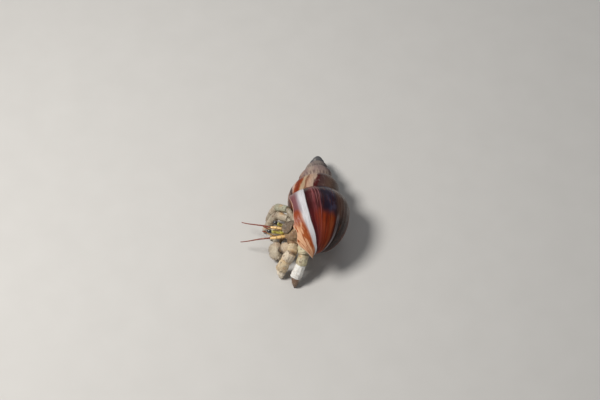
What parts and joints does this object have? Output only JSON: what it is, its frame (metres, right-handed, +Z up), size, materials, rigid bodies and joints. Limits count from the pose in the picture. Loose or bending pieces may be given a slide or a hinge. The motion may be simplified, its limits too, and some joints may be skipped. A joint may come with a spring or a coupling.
{
  "type": "land hermit crab",
  "caption": "Life-size land hermit crab walking with a giant land snail's shell on its back, claws and legs out in front of the mouth.",
  "frame": {"origin": "middle of the small flat under the shell's last whorl, which stands on the floor", "axes": "+Y towards the shell's apex, +Z up, so the crab faces -X with its left side towards -Y"},
  "size_m": [0.0552, 0.0752, 0.0357],
  "materials": {
    "shell": "glossy, streaked maroon and brown with a white band",
    "shield": "grainy hard shield, satin",
    "thorax": "wrinkled soft skin, satin",
    "abdomen": "soft skin, satin",
    "legs": "grainy limb plates with tubercles, satin",
    "claws": "grainy claw plates with tubercles, satin",
    "eyestalks": "smooth, satin",
    "corneas": "black, polished",
    "antennae": "smooth, satin",
    "flagella": "ringed, satin",
    "mouthparts": "smooth, satin"
  },
  "bodies": {
    "root": {"shell": "shell", "shield": "shield", "thorax": "thorax", "abdomen": "abdomen", "eyestalk_left": "eyestalks", "eye_left": "corneas", "antenna_left": "antennae", "flagellum_left": "flagella", "antennule_left": "antennae", "maxilliped_left": "mouthparts", "cheliped_left_merus": "claws", "cheliped_left_carpus": "claws", "cheliped_left_palm": "claws", "cheliped_left_finger": "claws", "leg2_left_merus": "legs", "leg2_left_carpus": "legs", "leg2_left_propodus": "legs", "leg2_left_dactyl": "legs", "leg3_left_merus": "legs", "leg3_left_carpus": "legs", "leg3_left_propodus": "legs", "leg3_left_dactyl": "legs", "eyestalk_right": "eyestalks", "eye_right": "corneas", "antenna_right": "antennae", "flagellum_right": "flagella", "antennule_right": "antennae", "maxilliped_right": "mouthparts", "cheliped_right_merus": "claws", "cheliped_right_carpus": "claws", "cheliped_right_palm": "claws", "cheliped_right_finger": "claws", "leg2_right_ischium": "legs", "leg2_right_merus": "legs", "leg2_right_carpus": "legs", "leg2_right_propodus": "legs", "leg2_right_dactyl": "legs", "leg3_right_ischium": "legs", "leg3_right_merus": "legs", "leg3_right_carpus": "legs", "leg3_right_propodus": "legs", "leg3_right_dactyl": "legs"}
  },
  "joints": []
}
